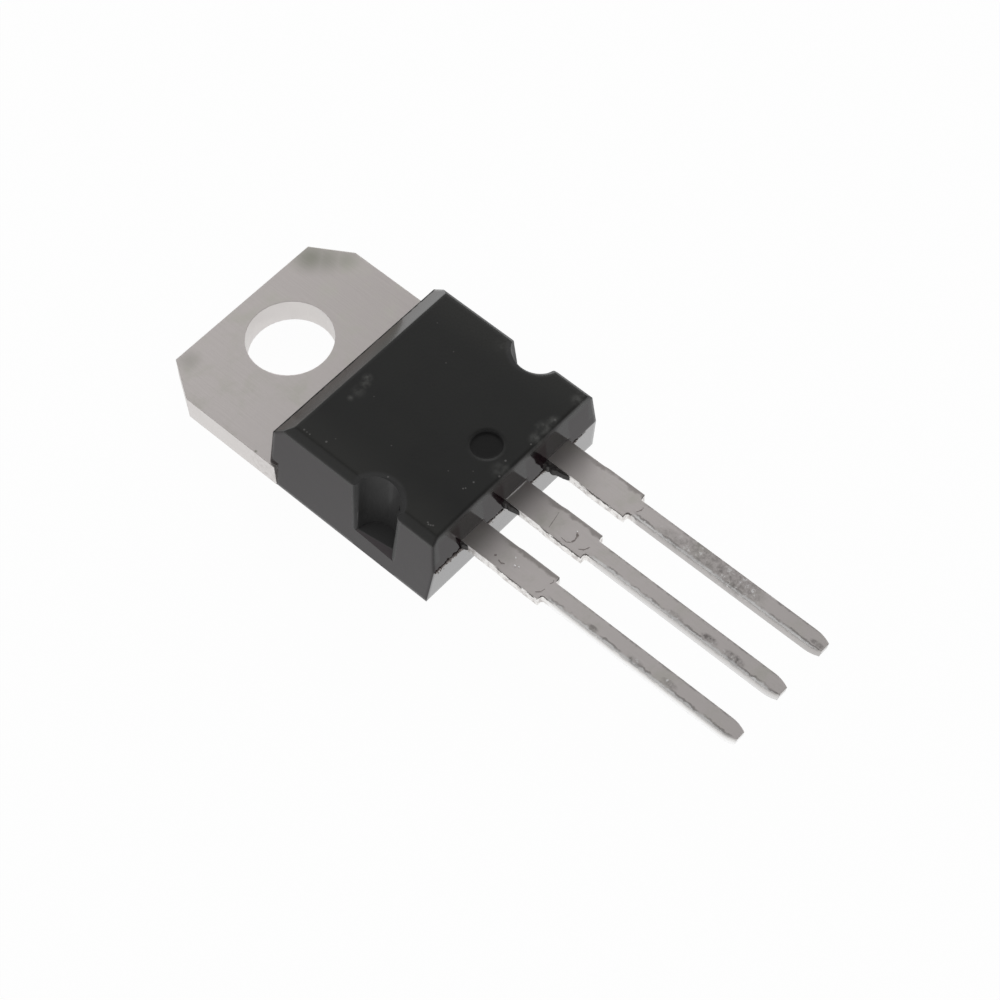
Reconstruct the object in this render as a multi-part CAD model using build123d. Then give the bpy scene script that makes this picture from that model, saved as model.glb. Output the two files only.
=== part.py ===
"""A darlington power transistor in the three-lead tab package, lying on its back. Millimetres.

The origin is on the back face at the centre of the mounting hole. +Z points out of the marked
face, +Y to the free end of the tab, and the leads run along -Y. +X is to the right when the
marked face is up and the leads point down.
"""

import os
from math import asin, atan2, copysign, cos, hypot, pi, radians, sin, sqrt, tan

from build123d import *

os.makedirs("parts", exist_ok=True)

# ---- Driving dimensions ----------------------------------------------------------------------

# Lead grid: base, collector and emitter stand a tenth of an inch apart.
LEAD_PITCH = 2.54
BASE_X, COLLECTOR_X, EMITTER_X = -LEAD_PITCH, 0.0, LEAD_PITCH

# Mounting tab: the thick gauge of the copper strip.
TAB_WIDTH = 10.10
TAB_THICK = 1.27
TAB_END_Y = 2.80
TAB_CORNER_X = 1.10
TAB_CORNER_Y = 1.76
HOLE_RADIUS = 1.90
TAB_SHOULDER_Y = -4.05

# Heat slug: the same thick gauge, inside the moulding, bare on the back.
SLUG_WIDTH = 8.00
SLUG_WAIST_WIDTH = 6.60
SLUG_WAIST_Y = -8.25
SLUG_END_Y = -9.90
LOCK_STEP = 0.35
LOCK_HEIGHT = 0.45
GROOVE_Y = -4.75
GROOVE_WIDTH = 0.40
GROOVE_DEPTH = 0.15

# Leads: the thin gauge of the strip.
LEAD_THICK = 0.48
LEAD_TOP_Z = 2.75
LEAD_BOTTOM_Z = LEAD_TOP_Z - LEAD_THICK
LEAD_MID_Z = LEAD_TOP_Z - LEAD_THICK / 2
ROOT_WIDTH = 1.26
DAM_WIDTH = 1.32
LEG_WIDTH = 0.77
DAM_START_Y = -14.62
DAM_BLEND = 0.30
SHOULDER_Y = -16.76
SHOULDER_RADIUS = 0.12
TIP_Y = -26.43
TIP_WIDTH = 0.42
TIP_LENGTH = 0.73
TIP_UNDERCUT = 0.08
STRAP_START_Y = -11.90
STRAP_BEND_LOW_Y = -10.35
STRAP_BEND_HIGH_Y = -11.45
STRAP_BEND_RADIUS = 0.45
POST_WIDTH = 1.95
POST_INNER_Y = -10.55
POST_OUTER_Y = -11.65
POST_SHIFT = 0.22
POST_CORNER = 0.20

# Moulded body. The mould halves part at the underside of the leads.
BODY_HEIGHT = 4.40
BODY_BACK_HALF = 5.03
SIDE_DRAFT = 0.088
SIDE_BEVEL_WIDTH = 0.28
SIDE_BEVEL_HEIGHT = 0.38
END_PARTING_Y = -12.78
END_LOWER_DRAFT = 8.5
END_UPPER_DRAFT = 2.7
OVERHANG_Y = -3.72
OVERHANG_DRAFT = 6.0
SLOPE_FOOT_Z = 3.42
SLOPE_ANGLE = 43.5

# Side notches: one in each long side, open to the face, closed by a ledge near the back.
NOTCH_X = 4.85
NOTCH_Y = -9.66
NOTCH_RADIUS = 1.12
NOTCH_LIP = 0.26
NOTCH_FLOOR_Y = -9.52
NOTCH_FLOOR_RADIUS = 0.93
NOTCH_FLOOR_LIP = 0.14
NOTCH_FLOOR_Z = 1.15
RIM_Y = -9.82
RIM_RADIUS = 1.21
RIM_DEPTH = 0.25
LEDGE_DROP = 0.11
LEDGE_WIDTH = 0.22
LEDGE_TURN = -7.8

# Ejector-pin recess in the face.
PIN_MARK_X = 0.03
PIN_MARK_Y = -11.22
PIN_MARK_RADIUS = 0.68
PIN_MARK_DEPTH = 0.09

# Chip, solder and wires inside the moulding.
DIE_SIZE = 2.60
DIE_THICK = 0.28
DIE_Y = -6.40
SOLDER_SIZE = 2.90
SOLDER_THICK = 0.06
DIE_TOP_Z = TAB_THICK + SOLDER_THICK + DIE_THICK
BASE_WIRE_DIAMETER = 0.25
EMITTER_WIRE_DIAMETER = 0.38
BASE_BOND = (-0.75, -7.25)
EMITTER_BOND = (0.55, -6.60)
WIRE_FOOT = 0.45
WIRE_SINK = 0.30
LOOP_TOP_Z = 3.55
LOOP_RADIUS = 0.35
LOOP_START = 0.36
LOOP_END = 0.60

# A cutter's reach past the part, and how near a point counts as being on a line.
OVERSIZE = 20.0
TOLERANCE = 0.01


# ---- Small helpers ---------------------------------------------------------------------------


def slab(x0, x1, y0, y1, z0, z1):
    """A box between two corners."""
    size = (x1 - x0, y1 - y0, z1 - z0)
    centre = ((x0 + x1) / 2, (y0 + y1) / 2, (z0 + z1) / 2)
    return Pos(*centre) * Box(*size)


def plate(points, z0, z1):
    """An outline in the XY plane given thickness."""
    return extrude(Plane.XY.offset(z0) * make_face(Polyline(*points, close=True)), z1 - z0)


def mirrored_outline(right_side):
    """A closed outline from its right-hand points, repeated on the left."""
    return right_side + [(-x, y) for x, y in reversed(right_side)]


# ---- Copper parts ----------------------------------------------------------------------------


def tab_plate():
    """The free tab with its two cut corners and the mounting hole."""
    half = TAB_WIDTH / 2
    outline = mirrored_outline([
        (half, TAB_SHOULDER_Y),
        (half, TAB_END_Y - TAB_CORNER_Y),
        (half - TAB_CORNER_X, TAB_END_Y),
    ])
    hole = Pos(0, 0, TAB_THICK / 2) * Cylinder(HOLE_RADIUS, 2 * TAB_THICK)
    return plate(outline, 0, TAB_THICK) - hole


def slug_outline(inset):
    """The slug seen from the face, drawn in by an inset on its sides and end."""
    half = SLUG_WIDTH / 2 - inset
    waist = SLUG_WAIST_WIDTH / 2 - inset
    return mirrored_outline([
        (half, TAB_SHOULDER_Y),
        (half, SLUG_WAIST_Y + inset),
        (waist, SLUG_WAIST_Y - (half - waist) + inset),
        (waist, SLUG_END_Y + inset),
    ])


def heat_slug():
    """The slug: its edges overhang a step that the moulding grips, and a groove crosses its top."""
    bare_back = plate(slug_outline(LOCK_STEP), 0, LOCK_HEIGHT)
    upper = plate(slug_outline(0.0), LOCK_HEIGHT, TAB_THICK)
    half_groove = GROOVE_WIDTH / 2
    groove = make_face(Polyline(
        (GROOVE_Y - half_groove, TAB_THICK),
        (GROOVE_Y, TAB_THICK - GROOVE_DEPTH),
        (GROOVE_Y + half_groove, TAB_THICK),
        close=True,
    ))
    return bare_back + upper - extrude(Plane.YZ * groove, OVERSIZE, both=True)


def tip_cutter():
    """What a lead's tip lies inside: sides that curve in to a narrow end, sheared back underneath."""
    leg, tip = LEG_WIDTH / 2, TIP_WIDTH / 2
    start_y = TIP_Y + TIP_LENGTH
    curve_radius = (TIP_LENGTH**2 + (leg - tip) ** 2) / (2 * (leg - tip))
    half_turn = asin(TIP_LENGTH / curve_radius) / 2
    mid_x = leg - curve_radius * (1 - cos(half_turn))
    mid_y = start_y - curve_radius * sin(half_turn)
    outline = [
        ThreePointArc((-tip, TIP_Y), (-mid_x, mid_y), (-leg, start_y)),
        Polyline((-leg, start_y), (-OVERSIZE, start_y), (-OVERSIZE, 0), (OVERSIZE, 0),
                 (OVERSIZE, start_y), (leg, start_y)),
        ThreePointArc((leg, start_y), (mid_x, mid_y), (tip, TIP_Y)),
        Line((tip, TIP_Y), (-tip, TIP_Y)),
    ]
    seen_from_face = extrude(make_face(Curve() + outline), OVERSIZE)
    seen_from_side = make_face(Polyline(
        (TIP_Y, LEAD_TOP_Z),
        (TIP_Y + TIP_UNDERCUT, LEAD_BOTTOM_Z),
        (0, LEAD_BOTTOM_Z),
        (0, LEAD_TOP_Z),
        close=True,
    ))
    return seen_from_face & extrude(Plane.YZ * seen_from_side, OVERSIZE, both=True)


def lead_blade(axis_x, start_y):
    """A straight lead: a root, a slightly wider dam stub, a narrow leg and a bullet-shaped tip."""
    root, dam, leg = ROOT_WIDTH / 2, DAM_WIDTH / 2, LEG_WIDTH / 2
    outline = mirrored_outline([
        (root, start_y),
        (root, DAM_START_Y),
        (dam, DAM_START_Y - DAM_BLEND),
        (dam, SHOULDER_Y),
        (leg, SHOULDER_Y),
        (leg, TIP_Y),
    ])
    blade = plate(outline, LEAD_BOTTOM_Z, LEAD_TOP_Z)
    inner_corners = [
        edge for edge in blade.edges().filter_by(Axis.Z)
        if abs(edge.center().Y - SHOULDER_Y) < TOLERANCE
        and abs(abs(edge.center().X) - leg) < TOLERANCE
    ]
    blade = fillet(inner_corners, SHOULDER_RADIUS) & tip_cutter()
    return Pos(axis_x, 0, 0) * blade


def post_centre(axis_x):
    """The middle of an outer lead's post, shifted from the lead towards the chip."""
    return (axis_x - copysign(POST_SHIFT, axis_x), (POST_INNER_Y + POST_OUTER_Y) / 2)


def bonding_post(axis_x):
    """The wide inner end of an outer lead, where the wire is bonded."""
    length = POST_INNER_Y - POST_OUTER_Y
    pad = Plane.XY.offset(LEAD_BOTTOM_Z) * RectangleRounded(POST_WIDTH, length, POST_CORNER)
    return Pos(*post_centre(axis_x)) * extrude(pad, LEAD_THICK)


def outer_lead(axis_x):
    """The base or the emitter lead: one flat strip with its post."""
    return lead_blade(axis_x, POST_OUTER_Y + POST_CORNER) + bonding_post(axis_x)


def collector_strap():
    """The bent strap that joins the slug to the middle lead."""
    low_z = TAB_THICK - LEAD_THICK / 2
    centre_line = FilletPolyline(
        (0, SLUG_END_Y + LOCK_STEP, low_z),
        (0, STRAP_BEND_LOW_Y, low_z),
        (0, STRAP_BEND_HIGH_Y, LEAD_MID_Z),
        (0, STRAP_START_Y - LEAD_THICK, LEAD_MID_Z),
        radius=STRAP_BEND_RADIUS,
    )
    section = Plane(origin=centre_line @ 0, x_dir=(1, 0, 0), z_dir=centre_line % 0)
    return sweep(section * Rectangle(ROOT_WIDTH, LEAD_THICK), path=centre_line)


def tab_with_collector():
    """Tab, slug and middle lead: one piece of profiled copper strip."""
    return tab_plate() + heat_slug() + collector_strap() + lead_blade(COLLECTOR_X, STRAP_START_Y)


# ---- Chip and wires --------------------------------------------------------------------------


def square_tile(size, z0, thick):
    """A square tile centred on the chip's place."""
    half = size / 2
    return slab(-half, half, DIE_Y - half, DIE_Y + half, z0, z0 + thick)


def under_foot(place, top_z, diameter):
    """What a wire's foot is pressed flat against: everything below its bond, for some way round."""
    x, y = place
    reach = WIRE_FOOT + diameter
    return slab(x - reach, x + reach, y - reach, y + reach, 0, top_z)


def bond_wire(start, end, diameter):
    """A looped wire with a flattened foot on the chip and another on the lead's post."""
    run = hypot(end[0] - start[0], end[1] - start[1])
    along = ((end[0] - start[0]) / run, (end[1] - start[1]) / run)
    foot_rise = diameter / 2 - WIRE_SINK * diameter / 2
    chip_z = DIE_TOP_Z + foot_rise
    post_z = LEAD_TOP_Z + foot_rise
    stations = [
        (0.0, chip_z),
        (WIRE_FOOT, chip_z),
        (LOOP_START * run, LOOP_TOP_Z),
        (LOOP_END * run, LOOP_TOP_Z),
        (run - WIRE_FOOT, post_z),
        (run, post_z),
    ]
    route = [(start[0] + s * along[0], start[1] + s * along[1], z) for s, z in stations]
    centre_line = FilletPolyline(*route, radius=LOOP_RADIUS)
    section = Plane(origin=centre_line @ 0, z_dir=centre_line % 0)
    wire = sweep(section * Circle(diameter / 2), path=centre_line)
    return wire - under_foot(start, DIE_TOP_Z, diameter) - under_foot(end, LEAD_TOP_Z, diameter)


# ---- Moulded body ----------------------------------------------------------------------------


def body_side_profile():
    """The body seen from the side, drawn in Y and Z."""
    lower_end_y = END_PARTING_Y + LEAD_BOTTOM_Z * tan(radians(END_LOWER_DRAFT))
    upper_end_y = END_PARTING_Y + (BODY_HEIGHT - LEAD_BOTTOM_Z) * tan(radians(END_UPPER_DRAFT))
    slope_foot_y = OVERHANG_Y - (SLOPE_FOOT_Z - TAB_THICK) * tan(radians(OVERHANG_DRAFT))
    slope_top_y = slope_foot_y - (BODY_HEIGHT - SLOPE_FOOT_Z) / tan(radians(SLOPE_ANGLE))
    return make_face(Polyline(
        (TAB_SHOULDER_Y, 0),
        (TAB_SHOULDER_Y, TAB_THICK),
        (OVERHANG_Y, TAB_THICK),
        (slope_foot_y, SLOPE_FOOT_Z),
        (slope_top_y, BODY_HEIGHT),
        (upper_end_y, BODY_HEIGHT),
        (END_PARTING_Y, LEAD_BOTTOM_Z),
        (lower_end_y, 0),
        close=True,
    ))


def body_end_profile():
    """The body seen from the lead end, drawn in X and Z: drafted sides and bevelled top edges."""
    bevel_z = BODY_HEIGHT - SIDE_BEVEL_HEIGHT
    bevel_half = BODY_BACK_HALF - SIDE_DRAFT * bevel_z
    return make_face(Polyline(*mirrored_outline([
        (BODY_BACK_HALF, 0),
        (bevel_half, bevel_z),
        (bevel_half - SIDE_BEVEL_WIDTH, BODY_HEIGHT),
    ]), close=True))


def notch_outline(z, centre_y, radius, lip):
    """The right-hand notch seen from the face: an arc that flares into the side wall."""
    wall = BODY_BACK_HALF - SIDE_DRAFT * z
    flare_x = wall - lip
    reach = radius + lip
    flare_y = sqrt(reach**2 - (flare_x - NOTCH_X) ** 2)
    flare_angle = atan2(flare_y, flare_x - NOTCH_X)
    start_x = NOTCH_X + radius * cos(flare_angle)
    start_y = radius * sin(flare_angle)
    half_turn = (pi - flare_angle) / 2
    mid_x = flare_x + lip * cos(half_turn)
    mid_y = flare_y - lip * sin(half_turn)
    outer_x = BODY_BACK_HALF + NOTCH_RADIUS
    outline = [
        ThreePointArc((wall, flare_y), (mid_x, mid_y), (start_x, start_y)),
        ThreePointArc((start_x, start_y), (NOTCH_X - radius, 0), (start_x, -start_y)),
        ThreePointArc((start_x, -start_y), (mid_x, -mid_y), (wall, -flare_y)),
        Polyline((wall, -flare_y), (outer_x, -flare_y), (outer_x, flare_y), (wall, flare_y)),
    ]
    return Plane.XY.offset(z) * Pos(0, centre_y) * make_face(Curve() + outline)


def notch_ledge(floor):
    """The cutter that slopes the outer edge of the notch's floor, wider towards the leads."""
    wall = BODY_BACK_HALF - SIDE_DRAFT * NOTCH_FLOOR_Z
    slope = make_face(Polyline(
        (-LEDGE_WIDTH, NOTCH_FLOOR_Z),
        (NOTCH_RADIUS, NOTCH_FLOOR_Z),
        (NOTCH_RADIUS, NOTCH_FLOOR_Z - LEDGE_DROP * (1 + NOTCH_RADIUS / LEDGE_WIDTH)),
        close=True,
    ))
    wedge = extrude(Plane.XZ * slope, 2 * NOTCH_RADIUS, both=True)
    return Pos(wall, NOTCH_FLOOR_Y, 0) * Rot(0, 0, LEDGE_TURN) * wedge & extrude(floor, -NOTCH_FLOOR_Z)


def side_notch(side):
    """The cutter for one side notch: it narrows to its floor, and its rim is broken at the lead end."""
    floor = notch_outline(NOTCH_FLOOR_Z, NOTCH_FLOOR_Y, NOTCH_FLOOR_RADIUS, NOTCH_FLOOR_LIP)
    mouth = notch_outline(BODY_HEIGHT, NOTCH_Y, NOTCH_RADIUS, NOTCH_LIP)
    bore = loft([floor, mouth], ruled=True)
    rim = Pos(NOTCH_X, RIM_Y, BODY_HEIGHT - RIM_DEPTH / 2) * Cone(
        RIM_RADIUS - RIM_DEPTH, RIM_RADIUS, RIM_DEPTH
    )
    cutter = bore + rim + notch_ledge(floor)
    return cutter if side > 0 else mirror(cutter, Plane.YZ)


def moulded_block():
    """The outside of the moulding, with its notches and the ejector-pin recess."""
    block = extrude(Plane.YZ * body_side_profile(), OVERSIZE, both=True)
    block &= extrude(Plane.XZ * body_end_profile(), OVERSIZE, both=True)
    for side in (-1, 1):
        block -= side_notch(side)
    mark_z = BODY_HEIGHT - PIN_MARK_DEPTH / 2
    block -= Pos(PIN_MARK_X, PIN_MARK_Y, mark_z) * Cylinder(PIN_MARK_RADIUS, PIN_MARK_DEPTH)
    return block


# ---- Build and write -------------------------------------------------------------------------


nodes = {
    "heatsink_tab_with_collector_lead": tab_with_collector(),
    "base_lead": outer_lead(BASE_X),
    "emitter_lead": outer_lead(EMITTER_X),
    "die_attach_solder": square_tile(SOLDER_SIZE, TAB_THICK, SOLDER_THICK),
    "darlington_die": square_tile(DIE_SIZE, TAB_THICK + SOLDER_THICK, DIE_THICK),
    "base_bond_wire": bond_wire(BASE_BOND, post_centre(BASE_X), BASE_WIRE_DIAMETER),
    "emitter_bond_wire": bond_wire(EMITTER_BOND, post_centre(EMITTER_X), EMITTER_WIRE_DIAMETER),
}

body = moulded_block()
for enclosed in nodes.values():
    body -= enclosed
nodes["epoxy_body"] = body

for name, solid in nodes.items():
    export_step(solid, f"parts/{name}.step")
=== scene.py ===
"""The finish, light and view of a darlington power transistor in the three-lead tab package.

Blender works in metres here. Sizes are named in millimetres and multiplied by MM where they are used.
The part lies on its back at z = 0: the tab is towards +Y, the leads run along -Y, and the face that
has the ejector-pin mark looks up.
"""

import math

import bpy
from mathutils import Matrix, Vector, noise


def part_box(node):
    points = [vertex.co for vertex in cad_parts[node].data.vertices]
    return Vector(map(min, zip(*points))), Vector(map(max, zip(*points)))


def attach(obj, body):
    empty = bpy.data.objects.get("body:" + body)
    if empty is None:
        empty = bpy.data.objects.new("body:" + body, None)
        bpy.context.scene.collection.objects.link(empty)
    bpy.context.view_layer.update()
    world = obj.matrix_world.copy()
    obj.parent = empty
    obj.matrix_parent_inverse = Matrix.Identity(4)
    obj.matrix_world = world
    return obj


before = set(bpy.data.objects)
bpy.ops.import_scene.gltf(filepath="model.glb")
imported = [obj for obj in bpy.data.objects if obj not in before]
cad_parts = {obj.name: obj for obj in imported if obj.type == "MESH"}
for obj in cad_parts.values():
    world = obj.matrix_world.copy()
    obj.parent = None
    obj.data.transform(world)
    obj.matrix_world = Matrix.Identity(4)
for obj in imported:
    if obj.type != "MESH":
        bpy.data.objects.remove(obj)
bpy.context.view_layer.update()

MM = 0.001
BODY = "epoxy_body"
TAB = "heatsink_tab_with_collector_lead"
OUTER_LEADS = ("base_lead", "emitter_lead")
CHIP = "darlington_die"
SOLDER = "die_attach_solder"
WIRES = ("base_bond_wire", "emitter_bond_wire")

body_low, body_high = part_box(BODY)
base_low, base_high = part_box(OUTER_LEADS[0])

# The part's own sizes in millimetres, which the shaders and the paths below use.
FACE = body_high.z / MM
END = body_low.y / MM
LEAD_TOP = base_high.z / MM
LEAD_BOTTOM = base_low.z / MM
LEAD_PITCH = 2.54
LEAD_HALF = 0.63
TAB_THICK = 1.27


# ---- Helpers -----------------------------------------------------------------------------------

MATH = "ShaderNodeMath"
VECTOR_MATH = "ShaderNodeVectorMath"
RANGE = "ShaderNodeMapRange"
NOISE = "ShaderNodeTexNoise"
SPLIT = "ShaderNodeSeparateXYZ"
JOIN = "ShaderNodeCombineXYZ"
MIX = "ShaderNodeMix"
SOFT = {"interpolation_type": "SMOOTHSTEP"}
TINT = {"data_type": "RGBA"}


def colour(hex_value):
    """An sRGB hex colour as linear RGBA."""
    channels = [int(hex_value[i:i + 2], 16) / 255 for i in (1, 3, 5)]
    linear = [c / 12.92 if c <= 0.04045 else ((c + 0.055) / 1.055) ** 2.4 for c in channels]
    return (*linear, 1.0)


def add(tree, kind, inputs=None, **settings):
    """Adds a node with its settings. An input takes a value, a socket, or a node's first live output."""
    node = tree.nodes.new(kind)
    for name, value in settings.items():
        setattr(node, name, value)
    for key, value in (inputs or {}).items():
        if isinstance(value, bpy.types.Node):
            value = next(output for output in value.outputs if output.enabled)
        if isinstance(value, bpy.types.NodeSocket):
            tree.links.new(value, node.inputs[key])
        else:
            node.inputs[key].default_value = value
    return node


def new_material(name):
    """An empty node material: its tree, its surface shader, and Object coordinates in millimetres."""
    material = bpy.data.materials.new(name)
    material.use_nodes = True
    tree = material.node_tree
    tree.nodes.clear()
    shader = add(tree, "ShaderNodeBsdfPrincipled")
    add(tree, "ShaderNodeOutputMaterial", {"Surface": shader})
    metres = add(tree, "ShaderNodeTexCoord").outputs["Object"]
    place = add(tree, VECTOR_MATH, {0: metres, "Scale": 1 / MM}, operation="SCALE").outputs[0]
    return material, tree, shader, place


# ---- The moulding compound ---------------------------------------------------------------------

# The moulding's forms, in millimetres. The notches lean, so they have a centre and a radius at the
# floor and at the face.
NOTCH_X = 4.85
NOTCH_FLOOR = 1.15
NOTCH_CENTRES = (-9.52, -9.66)
NOTCH_RADII = (0.93, 1.12)
LIP_Y = -9.82
LIP_RADIUS = 1.24
LIP_DEPTH = 0.28
PIN_MARK = (0.03, -11.22, FACE)
PIN_MARK_RADIUS = 0.68
SLOPE_FOOT = 3.42

# How far below the face the matte is gone, and how far it is still whole: round the sides, and over
# the leads.
SIDE_FADE = (0.74, 0.20)
END_FADE = (0.50, 0.04)
# Where the matte over the leads sets in, along the part.
END_FADE_START = (-12.0, -12.2)
# How far from a lead's centre line the painted reflection of the lead ends, and how far it is still whole.
LEAD_REFLECTION_REACH = (0.74, 0.60)
# How far outside a notch's wall its matte ends, and how far it is still whole.
NOTCH_FADE = (0.30, 0.12)
# The heights between which the dust and painted light in a notch grow, from the top down.
DUST_AND_LIGHT_HEIGHTS = (2.4, 1.2)
# How far above the slope's foot its painted shade line ends, and how far it is still whole.
FOOT_SHADE_HEIGHT = (0.12, 0.08)
# The stretch of each side wall along which the polish grows towards the leads, and the stretch of
# the slope, from side to side, along which it grows.
SIDE_STRETCH = (-4.5, -12.0)
SLOPE_STRETCH = (-2.0, 4.5)
# How far from the middle the face starts to turn paler, and where it is palest.
PALER_SIDES = (2.6, 4.6)
# How far the shading rounds a moulded edge.
SOFT_EDGE = 0.22

# How rough each finish is, from 0 for a mirror to 1. The matte varies between two values.
MATTE_ROUGHNESS = (0.45, 0.55)
MARK_ROUGHNESS = 0.62
WALL_ROUGHNESS = 0.10
FOOT_SHADE_ROUGHNESS = 0.85
# How much polish the lower end wall has, and the most that the sides and the slope have.
END_POLISH = 0.75
SIDE_POLISH = 0.12
SLOPE_POLISH = 0.17

# The size of a grain or wave in each texture, in millimetres. The real erosion is about a fifth as
# coarse, and the silica grains far closer: both are drawn coarse enough to show.
SMEAR_GRAIN = 0.24
FOOT_SHADE_GRAIN = 0.22
EROSION_GRAIN = 0.11
SILICA_SPACING = 0.62
SILICA_RADIUS = 0.07
SILICA_RARITY = 0.94
RIPPLE_LENGTH = 0.9
BLOTCH_SIZE = 1.7

# Thin smears on the face: where, how far each reaches and how strong it is.
SMUDGES = (
    (-0.78, -5.48, 0.30, 1.0),
    (-1.05, -5.62, 0.32, 0.75),
    (-1.50, -5.65, 0.45, 0.40),
    (-1.92, -5.66, 0.22, 0.75),
    (1.55, -12.48, 0.42, 0.90),
    (2.10, -12.38, 0.48, 0.90),
    (2.60, -12.46, 0.40, 0.80),
    (-0.45, -12.45, 0.60, 0.55),
    (4.05, -12.50, 0.45, 0.70),
    (4.10, -8.55, 0.60, 0.35),
)
# Small pale nicks in the face, each with its radius.
NICKS = (
    (-4.24, -5.33, 0.035), (-4.25, -5.49, 0.02), (-4.25, -5.65, 0.025), (-4.07, -6.39, 0.04),
    (-4.15, -11.95, 0.03), (-4.20, -12.03, 0.03), (-4.17, -12.12, 0.03), (-4.12, -12.20, 0.03),
    (-3.65, -9.35, 0.035), (-1.61, -12.03, 0.035), (-2.10, -11.92, 0.03), (-2.02, -11.98, 0.025),
    (-0.74, -12.60, 0.04), (-0.04, -12.29, 0.04), (0.44, -11.31, 0.05), (1.20, -12.52, 0.03),
    (2.70, -12.46, 0.04),
)


def moulded_epoxy():
    """Silica-filled epoxy from a transfer mould.

    The spark-eroded face scatters light and looks soft and grey-black. The drawn walls are polished
    and show the pale surround in dim, smooth bands.
    """
    material, tree, shader, place = new_material("black_epoxy_moulding_compound")
    spot = add(tree, SPLIT, {0: place})
    aim = add(tree, SPLIT, {0: add(tree, "ShaderNodeNewGeometry").outputs["True Normal"]})
    height = spot.outputs["Z"]

    # The matte face runs over the bevels and fades out just below them, but stops at the slope.
    lengthwise = add(tree, MATH, {0: aim.outputs["Y"]}, operation="ABSOLUTE")
    level = add(tree, RANGE, {0: height, 1: FACE - SIDE_FADE[0], 2: FACE - SIDE_FADE[1]}, **SOFT)
    sideways = add(tree, RANGE, {0: lengthwise, 1: 0.40, 2: 0.30}, **SOFT)
    face = add(tree, MATH, {0: level, 1: sideways}, operation="MULTIPLY")

    # It also turns down over the end wall above the leads, so that this edge has no hard line.
    end_edge = add(tree, RANGE, {0: height, 1: FACE - END_FADE[0], 2: FACE - END_FADE[1]}, **SOFT)
    lead_end = add(tree, RANGE, {0: spot.outputs["Y"], 1: END_FADE_START[0], 2: END_FADE_START[1]})
    end_edge = add(tree, MATH, {0: end_edge, 1: lead_end}, operation="MULTIPLY")
    face = add(tree, MATH, {0: face, 1: end_edge}, operation="MAXIMUM")

    # Above each lead the end wall is painted paler: a painted reflection of the lead in the polished wall.
    from_lead = add(tree, MATH, {0: spot.outputs["X"], 1: LEAD_PITCH / 2, 2: -LEAD_PITCH / 2},
                    operation="WRAP")
    from_lead = add(tree, MATH, {0: from_lead}, operation="ABSOLUTE")
    lead_reflection = add(tree, RANGE, {0: from_lead, 1: LEAD_REFLECTION_REACH[0], 2: LEAD_REFLECTION_REACH[1]}, **SOFT)
    over_lead = add(tree, RANGE, {0: height, 1: LEAD_TOP - 0.02, 2: LEAD_TOP})
    lead_reflection = add(tree, MATH, {0: lead_reflection, 1: over_lead}, operation="MULTIPLY")
    outward = add(tree, RANGE, {0: aim.outputs["Y"], 1: -0.8, 2: -0.9})
    lead_reflection = add(tree, MATH, {0: lead_reflection, 1: outward}, operation="MULTIPLY")

    # The notches are matte too, down to their floor.
    across = add(tree, MATH, {0: spot.outputs["X"]}, operation="ABSOLUTE")
    flat = add(tree, JOIN, {"X": across, "Y": spot.outputs["Y"]})
    axis_y = add(tree, RANGE, {0: height, 1: NOTCH_FLOOR, 2: FACE, 3: NOTCH_CENTRES[0], 4: NOTCH_CENTRES[1]})
    axis = add(tree, JOIN, {"X": NOTCH_X, "Y": axis_y})
    reach = add(tree, VECTOR_MATH, {0: flat, 1: axis}, operation="DISTANCE").outputs["Value"]
    radius = add(tree, RANGE, {0: height, 1: NOTCH_FLOOR, 2: FACE, 3: NOTCH_RADII[0], 4: NOTCH_RADII[1]})
    beyond = add(tree, MATH, {0: reach, 1: radius}, operation="SUBTRACT")
    inside = add(tree, RANGE, {0: beyond, 1: NOTCH_FADE[0], 2: NOTCH_FADE[1]}, **SOFT)
    above = add(tree, RANGE, {0: height, 1: NOTCH_FLOOR - 0.04, 2: NOTCH_FLOOR - 0.005}, **SOFT)
    notch = add(tree, MATH, {0: inside, 1: above}, operation="MULTIPLY")

    # So are the flared lips at their tops. The turned part of a lip, on the lead side, is paler.
    lip_gap = add(tree, VECTOR_MATH, {0: flat, 1: (NOTCH_X, LIP_Y, 0)}, operation="DISTANCE").outputs["Value"]
    lip = add(tree, RANGE, {0: lip_gap, 1: LIP_RADIUS + 0.10, 2: LIP_RADIUS})
    lip_top = add(tree, RANGE, {0: height, 1: FACE - LIP_DEPTH - 0.06, 2: FACE - LIP_DEPTH})
    lip = add(tree, MATH, {0: lip, 1: lip_top}, operation="MULTIPLY")
    matte = add(tree, MATH, {0: face, 1: notch}, operation="MAXIMUM")
    matte = add(tree, MATH, {0: matte, 1: lip}, operation="MAXIMUM")
    not_level = add(tree, RANGE, {0: aim.outputs["Z"], 1: 0.98, 2: 0.94})
    lip = add(tree, MATH, {0: lip, 1: not_level}, operation="MULTIPLY")
    lip_end = add(tree, RANGE, {0: spot.outputs["Y"], 1: -9.7, 2: -10.2})
    lip = add(tree, MATH, {0: lip, 1: lip_end}, operation="MULTIPLY")

    # The ejector pin leaves a duller floor, painted near black as painted shade in its recess, with a pale
    # rim that is a painted highlight.
    mark_gap = add(tree, VECTOR_MATH, {0: place, 1: PIN_MARK}, operation="DISTANCE").outputs["Value"]
    in_mark = add(tree, RANGE, {0: mark_gap, 1: PIN_MARK_RADIUS + 0.02, 2: PIN_MARK_RADIUS})
    mark_rim = add(tree, RANGE, {0: mark_gap, 1: PIN_MARK_RADIUS - 0.015, 2: PIN_MARK_RADIUS})
    mark_rim = add(tree, MATH, {0: mark_rim, 1: in_mark}, operation="MULTIPLY")

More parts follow.
